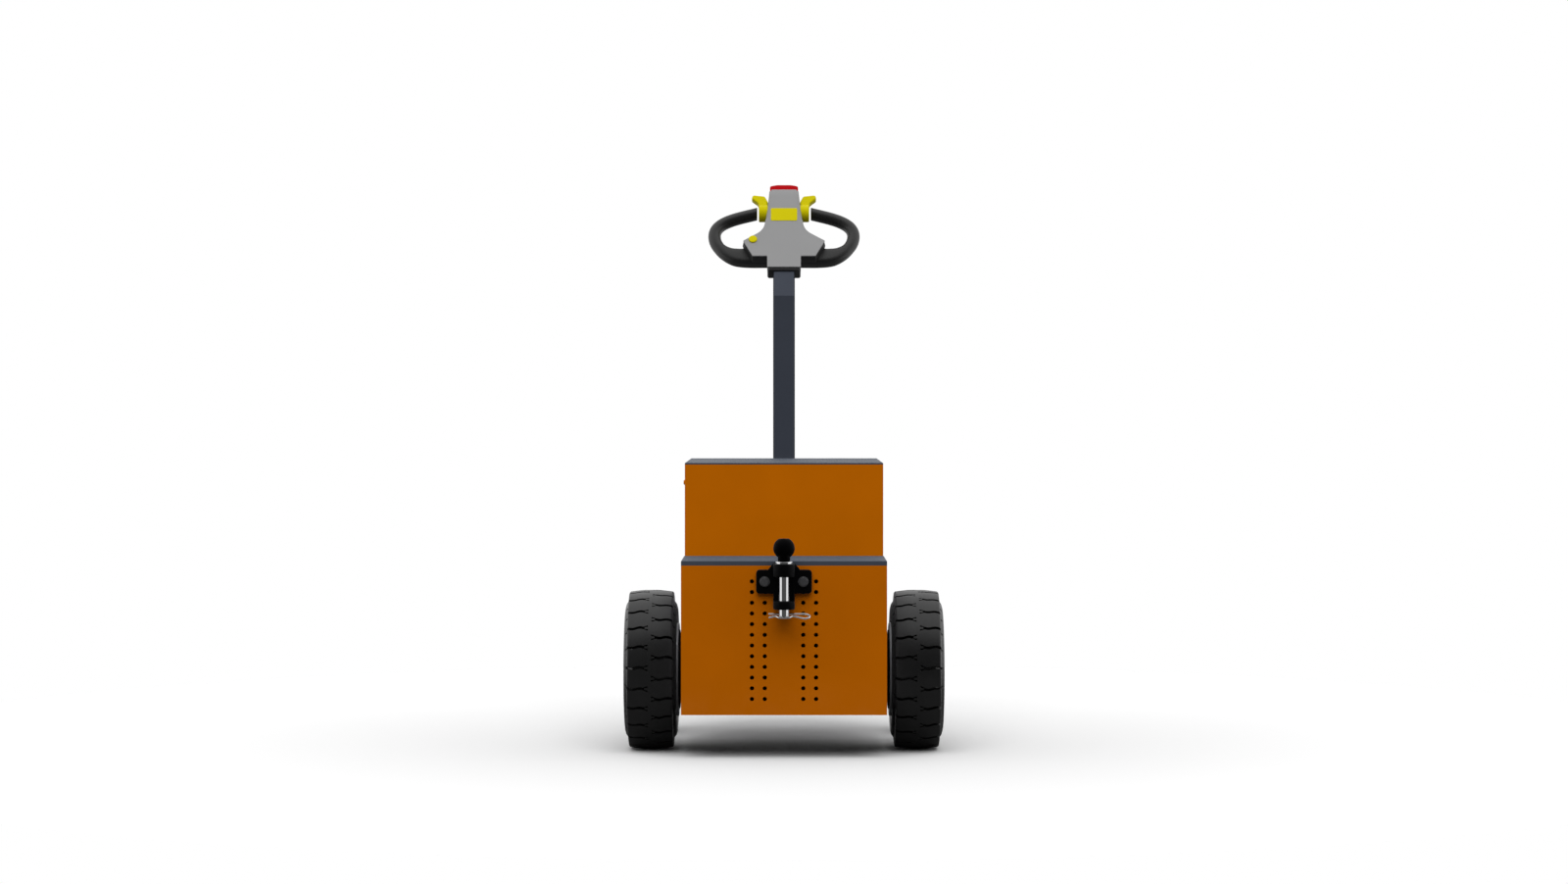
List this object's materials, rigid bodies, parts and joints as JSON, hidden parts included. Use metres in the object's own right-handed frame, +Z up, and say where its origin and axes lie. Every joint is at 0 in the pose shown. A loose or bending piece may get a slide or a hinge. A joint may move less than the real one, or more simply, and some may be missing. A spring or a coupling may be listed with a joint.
{
  "type": "walk-behind electric tow tug",
  "caption": "Walk-behind electric tow tug: sheet steel drive and battery boxes, solid lugged tyres, swivel castors, ball and pin hitch, tilting tiller with hoop grips.",
  "frame": {"origin": "on the floor, at the middle of the machine's width and length", "axes": "+Z up; +Y from the hitch towards the tiller; +X across, to the right of someone who looks from the hitch to the tiller"},
  "size_m": [0.766, 1.2244, 1.4026],
  "materials": {
    "body_orange": "satin powder coat",
    "belly_black": "satin paint",
    "cover_grey": "fine textured powder coat",
    "stem_grey": "satin powder coat",
    "hitch_black": "satin black paint",
    "bolt_dark": "blackened steel",
    "pin_steel": "turned steel",
    "zinc_steel": "zinc plated",
    "tyre_black": "moulded solid rubber",
    "rim_silver": "silver wheel paint",
    "housing_grey": "cast housing",
    "core_grey": "moulded nylon",
    "castor_rubber": "moulded rubber",
    "battery_case": "moulded case",
    "cap_black": "moulded",
    "head_grey": "fine grained moulding",
    "grip_black": "soft moulded grip",
    "control_yellow": "moulded",
    "button_red": "moulded"
  },
  "bodies": {
    "chassis": {"hitch_plate": "body_orange", "chassis_shell": "body_orange", "belly_pan": "belly_black", "ledge_cover": "cover_grey", "battery_box": "body_orange", "batteries": "battery_case", "side_lock": "body_orange", "drive_unit": "housing_grey", "castor_beam": "body_orange", "beam_end_caps": "cap_black", "tiller_bracket": "stem_grey", "tiller_pin": "zinc_steel", "hitch_jaw": "hitch_black", "hitch_bolts": "bolt_dark", "hitch_ball_pin": "pin_steel", "hitch_clip": "pin_steel", "lid_hinges": "zinc_steel", "castor_plate_left": "zinc_steel", "castor_plate_right": "zinc_steel"},
    "left_wheel": {"drive_tyre_left": "tyre_black", "wheel_rim_left": "rim_silver", "wheel_hub_left": "zinc_steel"},
    "right_wheel": {"drive_tyre_right": "tyre_black", "wheel_rim_right": "rim_silver", "wheel_hub_right": "zinc_steel"},
    "castor_fork_left": {"castor_fork_left": "zinc_steel", "castor_axle_left": "zinc_steel"},
    "castor_wheel_left": {"castor_core_left": "core_grey", "castor_tread_left": "castor_rubber"},
    "castor_fork_right": {"castor_fork_right": "zinc_steel", "castor_axle_right": "zinc_steel"},
    "castor_wheel_right": {"castor_core_right": "core_grey", "castor_tread_right": "castor_rubber"},
    "tiller": {"tiller_stem": "stem_grey", "tiller_head": "head_grey", "head_collar": "cap_black", "horn_bar": "control_yellow", "belly_button": "button_red", "round_button": "control_yellow", "thumb_lever_left": "control_yellow", "thumb_lever_right": "control_yellow", "hoop_grip_left": "grip_black", "hoop_grip_right": "grip_black"},
    "lid": {"top_cover": "cover_grey"}
  },
  "joints": [
    {"name": "left_wheel_spin", "type": "hinge", "parent": "chassis", "child": "left_wheel", "pos_m": [-0.318, -0.26582, 0.1905], "axis": [1, 0, 0], "continuous": true},
    {"name": "right_wheel_spin", "type": "hinge", "parent": "chassis", "child": "right_wheel", "pos_m": [0.318, -0.26582, 0.1905], "axis": [1, 0, 0], "continuous": true},
    {"name": "castor_swivel_left", "type": "hinge", "parent": "chassis", "child": "castor_fork_left", "pos_m": [-0.3175, 0.19068, 0.14], "axis": [0, 0, 1], "continuous": true},
    {"name": "castor_spin_left", "type": "hinge", "parent": "castor_fork_left", "child": "castor_wheel_left", "pos_m": [-0.3175, 0.15268, 0.0625], "axis": [1, 0, 0], "continuous": true},
    {"name": "castor_swivel_right", "type": "hinge", "parent": "chassis", "child": "castor_fork_right", "pos_m": [0.3175, 0.19068, 0.14], "axis": [0, 0, 1], "continuous": true},
    {"name": "castor_spin_right", "type": "hinge", "parent": "castor_fork_right", "child": "castor_wheel_right", "pos_m": [0.3175, 0.15268, 0.0625], "axis": [1, 0, 0], "continuous": true},
    {"name": "tiller_tilt", "type": "hinge", "parent": "chassis", "child": "tiller", "pos_m": [0, 0.39618, 0.33], "axis": [-1, 0, 0], "range_deg": [0, 65]},
    {"name": "lid_hinge", "type": "hinge", "parent": "chassis", "child": "lid", "pos_m": [0, 0.35518, 0.6815], "axis": [-1, 0, 0], "range_deg": [0, 80]}
  ]
}
